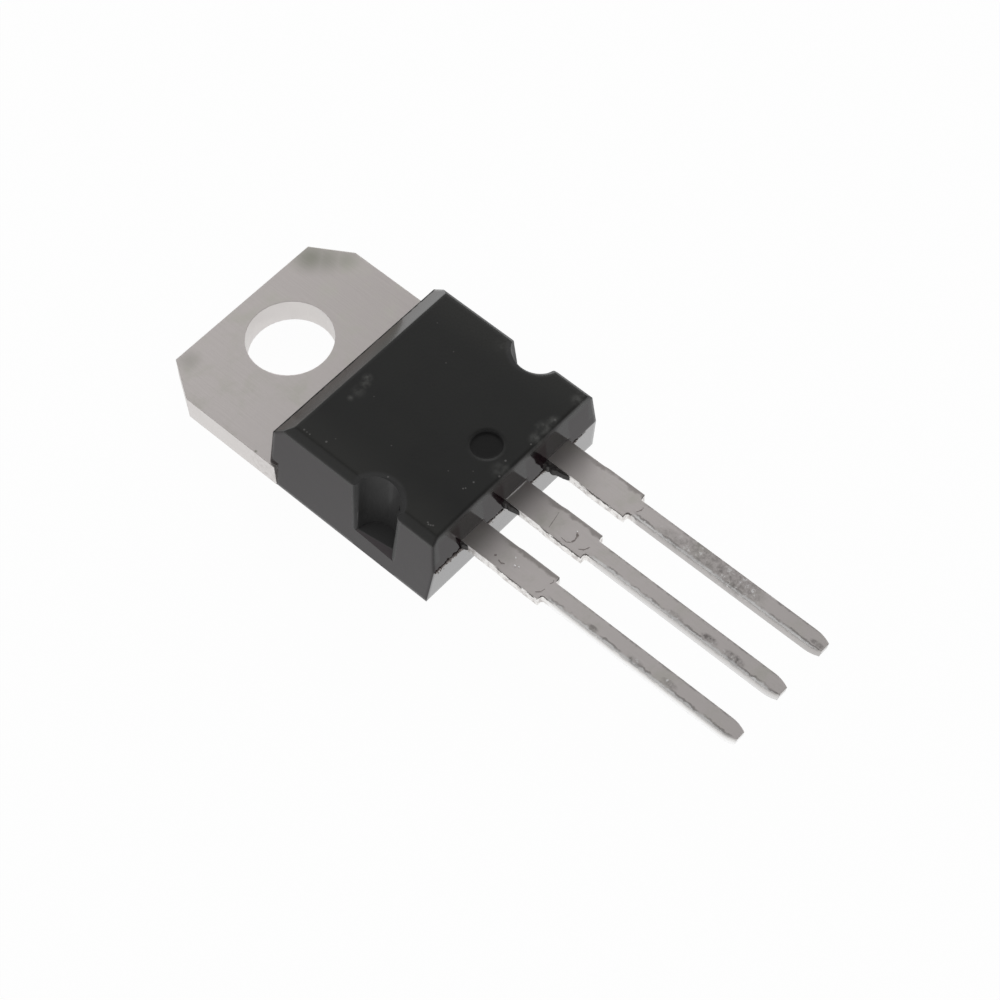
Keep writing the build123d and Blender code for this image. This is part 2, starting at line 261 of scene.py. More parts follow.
    # Handling leaves thin pale smears on the face, broken into streaks.
    haze = 0.0
    for smudge_x, smudge_y, size, weight in SMUDGES:
        gap = add(tree, VECTOR_MATH, {0: place, 1: (smudge_x, smudge_y, FACE)}, operation="DISTANCE")
        cloud = add(tree, RANGE, {0: gap.outputs["Value"], 1: size, 2: 0.0, 3: 0.0, 4: weight}, **SOFT)
        haze = add(tree, MATH, {0: cloud, 1: haze}, operation="MAXIMUM")
    streaks = add(tree, NOISE, {"Vector": place, "Scale": 1 / SMEAR_GRAIN, "Detail": 3.0})
    streaks = add(tree, RANGE, {0: streaks, 1: 0.30, 2: 0.65, 3: 0.15, 4: 1.0}, **SOFT)
    haze = add(tree, MATH, {0: haze, 1: streaks}, operation="MULTIPLY")

    # A nick chips the black skin and bares the paler filler.
    nick = 0.0
    for nick_x, nick_y, size in NICKS:
        gap = add(tree, VECTOR_MATH, {0: place, 1: (nick_x, nick_y, FACE)}, operation="DISTANCE")
        near = add(tree, RANGE, {0: gap.outputs["Value"], 1: size + 0.02, 2: size - 0.01})
        nick = add(tree, MATH, {0: near, 1: nick}, operation="MAXIMUM")

    # Single grains of silica catch the light: about one cell in seventeen has one that shows.
    grains = add(tree, "ShaderNodeTexVoronoi", {"Vector": place, "Scale": 1 / SILICA_SPACING},
                 voronoi_dimensions="2D")
    tiny = add(tree, RANGE, {0: grains.outputs["Distance"], 1: SILICA_RADIUS, 2: 0.02}, **SOFT)
    chance = add(tree, "ShaderNodeSeparateColor", {0: grains.outputs["Color"]})
    chosen = add(tree, MATH, {0: chance, 1: SILICA_RARITY}, operation="GREATER_THAN")
    speck = add(tree, MATH, {0: tiny, 1: chosen}, operation="MULTIPLY")
    speck = add(tree, MATH, {0: speck, 1: matte}, operation="MULTIPLY")

    # The sloping ledge under each notch is painted pale: a painted reflection of the bright surround that it
    # tilts out towards.
    under = add(tree, RANGE, {0: height, 1: NOTCH_FLOOR - 0.005, 2: NOTCH_FLOOR - 0.02})
    upright = add(tree, RANGE, {0: aim.outputs["Z"], 1: 0.7, 2: 0.8})
    ledge_reflection = add(tree, MATH, {0: under, 1: upright}, operation="MULTIPLY")
    ledge_reflection = add(tree, MATH, {0: ledge_reflection, 1: inside}, operation="MULTIPLY")

    # Dust, tinted paler as painted light against the shade there, lies deep in the notches, most on their
    # floors.
    low = add(tree, RANGE, {0: height, 1: DUST_AND_LIGHT_HEIGHTS[0], 2: DUST_AND_LIGHT_HEIGHTS[1], 3: 0.0, 4: 0.32}, **SOFT)
    flat_floor = add(tree, RANGE, {0: aim.outputs["Z"], 1: 0.5, 2: 0.9, 3: 1.0, 4: 3.0})
    low = add(tree, MATH, {0: low, 1: flat_floor}, operation="MULTIPLY")
    dust_and_painted_light = add(tree, MATH, {0: low, 1: notch}, operation="MULTIPLY")

    # The lower edge of the slope above the tab is painted near black and made rough along a wavering line:
    # painted shade where it meets the tab.
    slope = add(tree, RANGE, {0: aim.outputs["Y"], 1: 0.5, 2: 0.6})
    foot_shade_waver = add(tree, NOISE, {"Vector": place, "Scale": 1 / FOOT_SHADE_GRAIN, "Detail": 2.0})
    foot_shade_waver = add(tree, RANGE, {0: foot_shade_waver, 1: 0.35, 2: 0.65, 3: 0.02, 4: -0.03})
    foot_shade_waver = add(tree, MATH, {0: height, 1: foot_shade_waver}, operation="ADD")
    foot = add(tree, RANGE, {0: foot_shade_waver, 1: SLOPE_FOOT + FOOT_SHADE_HEIGHT[0], 2: SLOPE_FOOT + FOOT_SHADE_HEIGHT[1]})
    foot = add(tree, MATH, {0: slope, 1: foot}, operation="MULTIPLY")

    # The face is faintly blotched and a little paler towards both sides.
    blotches = add(tree, NOISE, {"Vector": place, "Scale": 1 / BLOTCH_SIZE, "Detail": 4.0})
    face_tint = add(tree, MIX, {"Factor": blotches, "A": colour("#181818"), "B": colour("#20211f")}, **TINT)
    outer = add(tree, RANGE, {0: across, 1: PALER_SIDES[0], 2: PALER_SIDES[1]}, **SOFT)
    face_tint = add(tree, MIX, {"Factor": outer, "A": face_tint, "B": colour("#282826")}, **TINT)
    glossy = add(tree, MIX, {"Factor": slope, "A": colour("#1b1014"), "B": colour("#211812")}, **TINT)
    base = add(tree, MIX, {"Factor": matte, "A": glossy, "B": face_tint}, **TINT)
    # The tilted faces near the top, the bevels round the face, are painted paler: painted light.
    painted_bevel_light = add(tree, MATH, {0: not_level, 1: level}, operation="MULTIPLY")
    layers = (
        (painted_bevel_light, "#2e2e2d"),
        (lead_reflection, "#2f2e2e"),
        (notch, "#323232"),
        (lip, "#303030"),
        (dust_and_painted_light, "#505050"),
        (in_mark, "#050505"),
        (mark_rim, "#242424"),
        (ledge_reflection, "#5a5557"),
        (haze, "#545452"),
        (speck, "#454443"),
        (nick, "#5c5b5a"),
        (foot, "#030303"),
    )
    for weight, tint in layers:
        base = add(tree, MIX, {"Factor": weight, "A": base, "B": colour(tint)}, **TINT)
    tree.links.new(base.outputs["Result"], shader.inputs["Base Color"])

    # The matte face is rough, the pin mark rougher, and the drawn walls nearly smooth.
    dull = add(tree, RANGE, {0: blotches, 1: 0.3, 2: 0.7, 3: MATTE_ROUGHNESS[0], 4: MATTE_ROUGHNESS[1]})
    dull = add(tree, RANGE, {0: in_mark, 3: dull, 4: MARK_ROUGHNESS})
    rough = add(tree, RANGE, {0: matte, 3: WALL_ROUGHNESS, 4: dull})
    rough = add(tree, RANGE, {0: foot, 3: rough, 4: FOOT_SHADE_ROUGHNESS})
    tree.links.new(rough.outputs["Result"], shader.inputs["Roughness"])

    # The erosion is a fine grain, and the polished walls only ripple a little. Every edge has a small
    # worn round, except in the notches.
    grain = add(tree, NOISE, {"Vector": place, "Scale": 1 / EROSION_GRAIN, "Detail": 2.0})
    ripple = add(tree, NOISE, {"Vector": place, "Scale": 1 / RIPPLE_LENGTH, "Detail": 1.0})
    relief = add(tree, RANGE, {0: matte, 3: ripple, 4: grain})
    soft_edge = add(tree, RANGE, {0: inside, 3: SOFT_EDGE * MM, 4: 0.0})
    rounded = add(tree, "ShaderNodeBevel", {"Radius": soft_edge}, samples=8)
    bump = add(tree, "ShaderNodeBump",
               {"Height": relief, "Strength": 0.5, "Distance": 0.006 * MM, "Normal": rounded})
    tree.links.new(bump.outputs[0], shader.inputs["Normal"])

    # The polish is best on the end under the leads. It is slight on the slope and on the sides.
    below = add(tree, RANGE, {0: height, 1: LEAD_BOTTOM + 0.01, 2: LEAD_BOTTOM - 0.01})
    low_end = add(tree, MATH, {0: below, 1: outward}, operation="MULTIPLY")
    low_end = add(tree, MATH, {0: low_end, 1: END_POLISH}, operation="MULTIPLY")
    turned = add(tree, MATH, {0: aim.outputs["X"]}, operation="ABSOLUTE")
    on_side = add(tree, RANGE, {0: turned, 1: 0.98, 2: 0.99})
    fade = add(tree, RANGE,
               {0: spot.outputs["Y"], 1: SIDE_STRETCH[0], 2: SIDE_STRETCH[1], 3: 0.0, 4: SIDE_POLISH})
    side_polish = add(tree, MATH, {0: on_side, 1: fade}, operation="MULTIPLY")
    polish = add(tree, MATH, {0: low_end, 1: side_polish}, operation="MAXIMUM")
    far_side = add(tree, RANGE,
                   {0: spot.outputs["X"], 1: SLOPE_STRETCH[0], 2: SLOPE_STRETCH[1], 3: 0.0, 4: SLOPE_POLISH})
    slope_polish = add(tree, MATH, {0: slope, 1: far_side}, operation="MULTIPLY")
    polish = add(tree, MATH, {0: polish, 1: slope_polish}, operation="MAXIMUM")
    tree.links.new(polish.outputs[0], shader.inputs["Coat Weight"])
    shader.inputs["IOR"].default_value = 1.33
    return material


# The size of the torn and whole flecks in flash.
TORN_GRAIN = 0.11


def resin_flash(name, tint, torn_tint):
    """Thin flash squeezed out of the mould: unfilled resin, dark where whole, pale and dull where torn."""
    material, tree, shader, place = new_material(name)
    chips = add(tree, NOISE, {"Vector": place, "Scale": 1 / TORN_GRAIN, "Detail": 2.0})
    pale = add(tree, RANGE, {0: chips, 1: 0.42, 2: 0.62}, **SOFT)
    base = add(tree, MIX, {"Factor": pale, "A": colour(tint), "B": colour(torn_tint)}, **TINT)
    tree.links.new(base.outputs["Result"], shader.inputs["Base Color"])
    rough = add(tree, RANGE, {0: chips, 1: 0.3, 2: 0.7, 3: 0.35, 4: 0.75})
    tree.links.new(rough.outputs["Result"], shader.inputs["Roughness"])
    shader.inputs["IOR"].default_value = 1.4
    return material


# ---- The metal ---------------------------------------------------------------------------------

# Where the strip changes along its length, in millimetres. Each pair says where a change starts and
# where it is complete.
LEAD_START = (-12.6, -12.7)
ROOT_SHADE_FADE = (-12.8, -14.8)
WIDE_START = (-13.6, -14.6)
WIDE_END = (-17.1, -17.0)
LEG_START = (-16.9, -17.3)
BURR_SHADE_START = (-14.4, -14.7)
BURR_SHADE_FADE = (-16.9, -17.6)
TAB_TEARING = (-1.6, -3.9)
# Where things lie across a lead, from its centre line.
DRAG_EDGE = (0.40, 0.56)
ROLLED_HIGHLIGHT = (-0.24, -0.33)
CREASE_X = -0.26
FAR_EDGE = (0.30, 0.40)
# How far the shading rounds the metal's edges.
WORN_EDGE = 0.04
# How rough the plate is, between two values, and how rough the sheared sides of the legs are.
PLATE_ROUGHNESS = (0.40, 0.48)
SHEAR_ROUGHNESS = 0.20

# The size of a grain or wave in each texture. The rolling lines are drawn coarser than the real ones,
# which are finer than a hundredth of a millimetre, so that they show.
CLOUD_SIZE = 1.3
ROLLING_LINE = (0.07, 1.6)
DRAG_WAVE = 0.5
TEAR_GRAIN = 0.24
BURR_SHADE_GRAIN = 0.28
BURR_SHADE_BREAK = 0.35
ROLLED_WAVE = 0.30
CREASE_BREAK = 0.9
FLECK_GRAIN = 0.22

# Stains on the tab: where, how far each reaches and how strong it is.
STAINS = (
    (3.60, 2.30, 1.15, 0.80),
    (4.00, 1.75, 1.10, 0.60),
    (4.50, 1.10, 0.90, 0.45),
    (-3.60, 2.35, 0.75, 0.35),
    (-4.98, -2.94, 0.10, 0.9),
    (-4.98, -4.15, 0.30, 0.5),
)
# Scrapes on the legs: where, how far each reaches and how strong it is.
SCRAPES = (
    (2.60, -20.2, 0.62, 0.55), (2.55, -22.0, 0.66, 0.7), (2.35, -19.0, 0.45, 0.45),
    (2.44, -26.1, 0.16, 0.8),
    (-0.12, -22.9, 0.20, 1.0), (-0.16, -24.1, 0.26, 0.9), (-0.25, -21.2, 0.22, 0.6),
    (-2.62, -23.0, 0.18, 0.9), (-2.78, -21.4, 0.20, 0.7), (-2.72, -19.2, 0.14, 0.7),
)


def tinned_copper(name):
    """Matte tin over rolled and stamped copper strip.

    The plate gives a soft warm grey with faint clouds, and the sheared sides are brighter and torn.
    """
    material, tree, shader, place = new_material(name)
    spot = add(tree, SPLIT, {0: place})
    aim = add(tree, SPLIT, {0: add(tree, "ShaderNodeNewGeometry").outputs["True Normal"]})
    along = spot.outputs["Y"]
    across = add(tree, MATH, {0: spot.outputs["X"], 1: LEAD_PITCH / 2, 2: -LEAD_PITCH / 2}, operation="WRAP")
    on_leads = add(tree, RANGE, {0: along, 1: LEAD_START[0], 2: LEAD_START[1]})
    on_legs = add(tree, RANGE, {0: along, 1: LEG_START[0], 2: LEG_START[1]}, **SOFT)

    # The plate is a little darker towards the emitter side, paler along the leads away from the body, and
    # clouded. The leads' roots by the body stay darker: painted shade.
    clouds = add(tree, NOISE, {"Vector": place, "Scale": 1 / CLOUD_SIZE, "Detail": 4.0, "Roughness": 0.6})
    clouds = add(tree, RANGE, {0: clouds, 1: 0.45, 2: 0.75, 3: 0.0, 4: 0.7}, **SOFT)
    width = add(tree, RANGE, {0: spot.outputs["X"], 1: -4.5, 2: 4.5})
    plate = add(tree, MIX, {"Factor": width, "A": colour("#d4cecc"), "B": colour("#bfb9b7")}, **TINT)
    out_of_root_shade = add(tree, RANGE, {0: along, 1: ROOT_SHADE_FADE[0], 2: ROOT_SHADE_FADE[1], 3: 0.0, 4: 0.55}, **SOFT)
    plate = add(tree, MIX, {"Factor": out_of_root_shade, "A": plate, "B": colour("#e0dad8")}, **TINT)
    base = add(tree, MIX, {"Factor": clouds, "A": plate, "B": colour("#bebcb4")}, **TINT)

    # Stains on the tab have tarnished to a greenish grey.
    soiled = 0.0
    for stain_x, stain_y, size, weight in STAINS:
        gap = add(tree, VECTOR_MATH, {0: place, 1: (stain_x, stain_y, TAB_THICK)}, operation="DISTANCE")
        cloud = add(tree, RANGE, {0: gap.outputs["Value"], 1: size, 2: 0.0, 3: 0.0, 4: weight}, **SOFT)
        soiled = add(tree, MATH, {0: cloud, 1: soiled}, operation="MAXIMUM")
    base = add(tree, MIX, {"Factor": soiled, "A": base, "B": colour("#8f9085")}, **TINT)

    # Fine lines run the way the strip was rolled.
    line_width, line_length = ROLLING_LINE
    drawn = add(tree, VECTOR_MATH, {0: place, 1: (1 / line_width, 1 / line_length, 1 / line_width)},
                operation="MULTIPLY")
    lines = add(tree, NOISE, {"Vector": drawn, "Scale": 1.0, "Detail": 2.0})

    # The die drags the metal down along one edge of the wide part, which is painted darker there: painted
    # shade where that edge turns away.
    wander = add(tree, NOISE, {"Vector": place, "Scale": 1 / DRAG_WAVE, "Detail": 3.0})
    wander = add(tree, RANGE, {0: wander, 1: 0.3, 2: 0.7, 3: -0.12, 4: 0.12})
    edge = add(tree, MATH, {0: across, 1: wander}, operation="ADD")
    drag_shade = add(tree, RANGE, {0: edge, 1: DRAG_EDGE[0], 2: DRAG_EDGE[1], 3: 0.0, 4: 0.75}, **SOFT)
    wide_start = add(tree, RANGE, {0: along, 1: WIDE_START[0], 2: WIDE_START[1]})
    wide_end = add(tree, RANGE, {0: along, 1: WIDE_END[0], 2: WIDE_END[1]})
    wide = add(tree, MATH, {0: wide_start, 1: wide_end}, operation="MULTIPLY")
    upward = add(tree, RANGE, {0: aim.outputs["Z"], 1: 0.7, 2: 0.9})
    drag_shade = add(tree, MATH, {0: drag_shade, 1: wide}, operation="MULTIPLY")
    drag_shade = add(tree, MATH, {0: drag_shade, 1: upward}, operation="MULTIPLY")
    base = add(tree, MIX, {"Factor": drag_shade, "A": base, "B": colour("#9c9693")}, **TINT)

    # The sheared sides are bare bright metal. On the wide parts, and on the tab near the body, they are torn
    # into a mottle. On the legs they are painted brighter downwards, a painted reflection of the white table,
    # and less so towards the emitter's, as painted shade.
    upright = add(tree, MATH, {0: aim.outputs["Z"]}, operation="ABSOLUTE")
    side = add(tree, RANGE, {0: upright, 1: 0.5, 2: 0.2})
    mottle = add(tree, NOISE, {"Vector": place, "Scale": 1 / TEAR_GRAIN, "Detail": 4.0, "Roughness": 0.65})
    mottle = add(tree, RANGE, {0: mottle, 1: 0.44, 2: 0.64, 3: 0.0, 4: 0.75}, **SOFT)
    deep = add(tree, RANGE, {0: spot.outputs["Z"], 1: LEAD_TOP, 2: LEAD_BOTTOM}, **SOFT)
    shaded = add(tree, MIX, {"Factor": deep, "A": colour("#cfccca"), "B": colour("#ffffff")}, **TINT)
    painted_emitter_shade = add(tree, RANGE,
                   {0: spot.outputs["X"], 1: -LEAD_PITCH - 0.4, 2: LEAD_PITCH - 0.4, 3: 0.0, 4: 0.85})
    shaded = add(tree, MIX, {"Factor": painted_emitter_shade, "A": shaded, "B": colour("#aaa6a4")}, **TINT)
    sheared = add(tree, MIX, {"Factor": on_legs, "A": colour("#f6f4f2"), "B": shaded}, **TINT)
    torn = add(tree, RANGE, {0: on_legs, 3: mottle, 4: 0.0})
    sheared = add(tree, MIX, {"Factor": torn, "A": sheared, "B": colour("#bcb6b3")}, **TINT)
    near_body = add(tree, RANGE, {0: along, 1: TAB_TEARING[0], 2: TAB_TEARING[1], 3: 0.0, 4: 0.7}, **SOFT)
    torn_tab = add(tree, MATH, {0: mottle, 1: near_body}, operation="MULTIPLY")
    tab_side = add(tree, MIX, {"Factor": torn_tab, "A": colour("#dcd8d6"), "B": colour("#bcb7b4")}, **TINT)
    sheared = add(tree, MIX, {"Factor": on_leads, "A": tab_side, "B": sheared}, **TINT)
    base = add(tree, MIX, {"Factor": side, "A": base, "B": sheared}, **TINT)

    # A thin dark line of uneven depth runs along the top of the sheared side, faint on the legs: painted
    # shade on the burr there.
    below_top = add(tree, MATH, {0: LEAD_TOP, 1: spot.outputs["Z"]}, operation="SUBTRACT")
    depth = add(tree, NOISE, {"Vector": place, "Scale": 1 / BURR_SHADE_GRAIN, "Detail": 4.0, "Roughness": 0.7})
    depth = add(tree, RANGE, {0: depth, 1: 0.35, 2: 0.70, 3: 0.02, 4: 0.20})
    below_top = add(tree, MATH, {0: below_top, 1: depth}, operation="SUBTRACT")
    top_edge = add(tree, RANGE, {0: below_top, 1: 0.03, 2: -0.01})
    broken = add(tree, NOISE, {"Vector": place, "Scale": 1 / BURR_SHADE_BREAK, "Detail": 3.0})
    broken = add(tree, RANGE, {0: broken, 1: 0.34, 2: 0.46}, **SOFT)
    past_root = add(tree, RANGE, {0: along, 1: BURR_SHADE_START[0], 2: BURR_SHADE_START[1]})
    burr_shade = add(tree, MATH, {0: top_edge, 1: broken}, operation="MULTIPLY")
    burr_shade = add(tree, MATH, {0: burr_shade, 1: past_root}, operation="MULTIPLY")
    burr_shade = add(tree, MATH, {0: burr_shade, 1: side}, operation="MULTIPLY")
    faint = add(tree, RANGE, {0: along, 1: BURR_SHADE_FADE[0], 2: BURR_SHADE_FADE[1], 3: 1.0, 4: 0.25})
    burr_shade = add(tree, MATH, {0: burr_shade, 1: faint}, operation="MULTIPLY")
    base = add(tree, MIX, {"Factor": burr_shade, "A": base, "B": colour("#4c4744")}, **TINT)

    # On the legs the shear has rolled one edge over: a pale strip, which is a painted highlight, and a broken
    # dark crease beside it, which is painted shade. The other edge is drawn down and painted darker as
    # painted shade.
    wander = add(tree, NOISE, {"Vector": place, "Scale": 1 / ROLLED_WAVE, "Detail": 4.0, "Roughness": 0.65})
    wander = add(tree, RANGE, {0: wander, 1: 0.3, 2: 0.7, 3: -0.06, 4: 0.06})
    rolled = add(tree, MATH, {0: across, 1: wander}, operation="ADD")
    rolled_highlight = add(tree, RANGE, {0: rolled, 1: ROLLED_HIGHLIGHT[0], 2: ROLLED_HIGHLIGHT[1]}, **SOFT)
    rolled_highlight = add(tree, MATH, {0: rolled_highlight, 1: on_legs}, operation="MULTIPLY")
    rolled_highlight = add(tree, MATH, {0: rolled_highlight, 1: upward}, operation="MULTIPLY")
    base = add(tree, MIX, {"Factor": rolled_highlight, "A": base, "B": colour("#ecebea")}, **TINT)
    crease_shade_and_flecks = add(tree, MATH, {0: rolled, 1: CREASE_X}, operation="SUBTRACT")
    crease_shade_and_flecks = add(tree, MATH, {0: crease_shade_and_flecks}, operation="ABSOLUTE")
    crease_shade_and_flecks = add(tree, RANGE, {0: crease_shade_and_flecks, 1: 0.07, 2: 0.01, 3: 0.0, 4: 0.55}, **SOFT)
    stretches = add(tree, NOISE,
                    {"Vector": place, "Scale": 1 / CREASE_BREAK, "Detail": 3.0, "Roughness": 0.6})
    stretches = add(tree, RANGE, {0: stretches, 1: 0.38, 2: 0.58}, **SOFT)
    crease_shade_and_flecks = add(tree, MATH, {0: crease_shade_and_flecks, 1: stretches}, operation="MULTIPLY")
    crease_shade_and_flecks = add(tree, MATH, {0: crease_shade_and_flecks, 1: on_legs}, operation="MULTIPLY")
    crease_shade_and_flecks = add(tree, MATH, {0: crease_shade_and_flecks, 1: upward}, operation="MULTIPLY")
    far_edge = add(tree, RANGE, {0: rolled, 1: FAR_EDGE[0], 2: FAR_EDGE[1], 3: 0.0, 4: 0.45}, **SOFT)
    far_edge = add(tree, MATH, {0: far_edge, 1: on_legs}, operation="MULTIPLY")
    far_edge = add(tree, MATH, {0: far_edge, 1: upward}, operation="MULTIPLY")
    crease_shade_and_flecks = add(tree, MATH, {0: crease_shade_and_flecks, 1: far_edge}, operation="MAXIMUM")

    # Scrapes on the legs, drawn out lengthwise, break into dark and bright flecks.
    scraped = 0.0
    for scrape_x, scrape_y, reach, weight in SCRAPES:
        stretched = add(tree, VECTOR_MATH, {0: place, 1: (1, 0.4, 1)}, operation="MULTIPLY")
        spot_gap = add(tree, VECTOR_MATH, {0: stretched, 1: (scrape_x, 0.4 * scrape_y, LEAD_TOP)},
                       operation="DISTANCE").outputs["Value"]
        patch = add(tree, RANGE, {0: spot_gap, 1: reach, 2: reach * 0.4, 3: 0.0, 4: weight}, **SOFT)
        scraped = add(tree, MATH, {0: patch, 1: scraped}, operation="MAXIMUM")
    flecks = add(tree, NOISE, {"Vector": place, "Scale": 1 / FLECK_GRAIN, "Detail": 4.0, "Roughness": 0.7})
    dark_fleck = add(tree, RANGE, {0: flecks, 1: 0.44, 2: 0.66, 3: 0.25, 4: 0.85}, **SOFT)
    dark_fleck = add(tree, MATH, {0: dark_fleck, 1: scraped}, operation="MULTIPLY")
    crease_shade_and_flecks = add(tree, MATH, {0: crease_shade_and_flecks, 1: dark_fleck}, operation="MAXIMUM")
    # The scrapes' dark flecks join the painted shade of the crease and the far edge here.
    base = add(tree, MIX, {"Factor": crease_shade_and_flecks, "A": base, "B": colour("#5f5a58")}, **TINT)
    bright_fleck = add(tree, RANGE, {0: flecks, 1: 0.42, 2: 0.34}, **SOFT)
    bright_fleck = add(tree, MATH, {0: bright_fleck, 1: scraped}, operation="MULTIPLY")
    base = add(tree, MIX, {"Factor": bright_fleck, "A": base, "B": colour("#fafafa")}, **TINT)
    tree.links.new(base.outputs["Result"], shader.inputs["Base Color"])

    # The plate is satin, and the sheared sides of the legs are smoother.
    bright_side = add(tree, MATH, {0: side, 1: on_legs}, operation="MULTIPLY")
    rough = add(tree, RANGE, {0: clouds, 3: PLATE_ROUGHNESS[0], 4: PLATE_ROUGHNESS[1]})
    rough = add(tree, RANGE, {0: bright_side, 3: rough, 4: SHEAR_ROUGHNESS})
    tree.links.new(rough.outputs["Result"], shader.inputs["Roughness"])
    relief = add(tree, RANGE, {0: side, 3: lines, 4: mottle})
    rounded = add(tree, "ShaderNodeBevel", {"Radius": WORN_EDGE * MM}, samples=4)
    bump = add(tree, "ShaderNodeBump",
               {"Height": relief, "Strength": 0.5, "Distance": 0.004 * MM, "Normal": rounded})
    tree.links.new(bump.outputs[0], shader.inputs["Normal"])
    shader.inputs["Metallic"].default_value = 1.0
    return material


def plain_metal(name, tint, roughness):
    """A metal of one tone: the sealed parts inside, and tin that the forming tool has worked."""
    material, _, shader, _ = new_material(name)
    shader.inputs["Base Color"].default_value = colour(tint)
    shader.inputs["Metallic"].default_value = 1.0
    shader.inputs["Roughness"].default_value = roughness
    return material


def dress(name, material):
    """Puts one material on every slot of a CAD node."""
    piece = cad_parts[name]
    piece.data.materials.clear()
    piece.data.materials.append(material)


dress(BODY, moulded_epoxy())
dress(TAB, tinned_copper("tin_plated_copper_tab"))
lead_metal = tinned_copper("tin_plated_copper_lead")
for lead_name in OUTER_LEADS:
    dress(lead_name, lead_metal)
# Polished silicon is a dark blue-grey mirror, solder is dull, and drawn aluminium wire is bright.
dress(CHIP, plain_metal("silicon_chip", "#5c6068", 0.15))
dress(SOLDER, plain_metal("tin_lead_solder", "#8f8f92", 0.5))
wire_metal = plain_metal("aluminium_bond_wire", "#d0d0d2", 0.25)
for wire_name in WIRES:
    dress(wire_name, wire_metal)


# ---- Flash, crumbs and tool marks ---------------------------------------------------------------

# Flash along the parting line, as runs of places across the end wall with its thickness at each.
FLASH_RUNS = (
    ((-4.78, 0.3), (-4.60, 1.1), (-4.20, 0.9), (-3.80, 1.2), (-3.45, 0.9), (-3.20, 1.3)),
    ((-1.90, 1.3), (-1.65, 0.9), (-1.40, 0.4), (-1.10, 0.25), (-0.66, 0.6)),
    ((0.64, 0.6), (0.80, 0.7), (1.20, 0.35), (1.60, 0.6), (1.90, 1.0)),
    ((3.18, 1.2), (3.45, 0.8), (3.70, 0.3), (4.20, 0.15)),
)
# For each lead: how far its film of resin reaches from the body, and how wide it starts. The film also stands
# for the dark reflection of the body in the lead's side: a painted reflection.
FILMS = ((-LEAD_PITCH, 0.32, 0.14), (0.0, 0.75, 0.14), (LEAD_PITCH, 1.15, 0.27))
# How deep a film starts inside the body, how many steps it is built in, how much its width wavers
# and how many waves it has in a millimetre.
FILM_ROOT = 0.12
FILM_STATIONS = 28
FILM_WAVER = 0.45
FILM_WAVES = 9
# The forming tool's creases and dents: the points of each and how thick it is there.
TOOL_MARKS = (
    ((-0.45, -14.93, 0.4), (-0.05, -14.85, 0.7), (0.34, -14.76, 0.3)),
    ((-0.48, -15.60, 0.5), (-0.50, -15.88, 0.7), (-0.40, -16.02, 1.0), (-0.20, -16.08, 1.5),
     (0.02, -16.02, 1.9), (0.14, -15.90, 1.3)),
    ((-0.44, -16.45, 0.7), (-0.30, -16.64, 1.0), (-0.07, -16.74, 0.6)),
    ((-3.00, -16.48, 0.8), (-2.85, -16.64, 1.0), (-2.65, -16.68, 0.5)),
    ((-2.35, -16.67, 0.5), (-2.22, -16.73, 0.9), (-2.11, -16.67, 0.6)),
    ((2.37, -17.02, 0.6), (2.55, -17.12, 1.0), (2.74, -17.12, 0.5)),
    ((-2.87, -14.45, 1.0), (-2.91, -14.62, 1.6), (-2.84, -14.74, 0.9)),
    ((-2.82, -14.18, 2.2), (-2.75, -14.24, 2.2)),
)
# Bright burrs: one along the middle lead's root, and the others beside the tool marks.
TOOL_BURRS = (
    ((-0.58, -12.79, 0.45), (0.0, -12.80, 0.65), (0.58, -12.81, 0.45)),
    ((0.13, -15.88, 1.6), (0.15, -15.93, 1.6)),
    ((-2.35, -14.86, 1.7), (-2.36, -14.92, 1.7)),
    ((-2.64, -15.08, 1.9), (-2.67, -15.14, 1.9)),
    ((-2.58, -15.24, 1.5), (-2.61, -15.28, 1.5)),
)
# What the trees below take: lengths in metres, and a raggedness from 0 to 1.
FLASH_BEAD = {"Radius": 0.06 * MM, "Raggedness": 0.85, "Grain": 0.16 * MM}
TOOL_BEAD = {"Radius": 0.02 * MM, "Raggedness": 0.6, "Grain": 0.10 * MM}
CRUMBS = {"Spacing": 0.09 * MM, "Size": 0.055 * MM, "Spread": 0.05 * MM}


def open_tree(name, sizes):
    """A Geometry Nodes tree with named inputs, and the outputs of its group input node."""
    tree = bpy.data.node_groups.new(name, "GeometryNodeTree")
    tree.interface.new_socket("Path", in_out="INPUT", socket_type="NodeSocketGeometry")
    for size in sizes:
        tree.interface.new_socket(size, in_out="INPUT", socket_type="NodeSocketFloat")
    tree.interface.new_socket("Material", in_out="INPUT", socket_type="NodeSocketMaterial")
    tree.interface.new_socket("Piece", in_out="OUTPUT", socket_type="NodeSocketGeometry")
    return tree, add(tree, "NodeGroupInput").outputs


def close_tree(tree, shape, material):
    """Ends a tree: real geometry with its material."""
    real = add(tree, "GeometryNodeRealizeInstances", {0: shape})
    dressed = add(tree, "GeometryNodeSetMaterial", {"Geometry": real, "Material": material})
    add(tree, "NodeGroupOutput", {0: dressed})


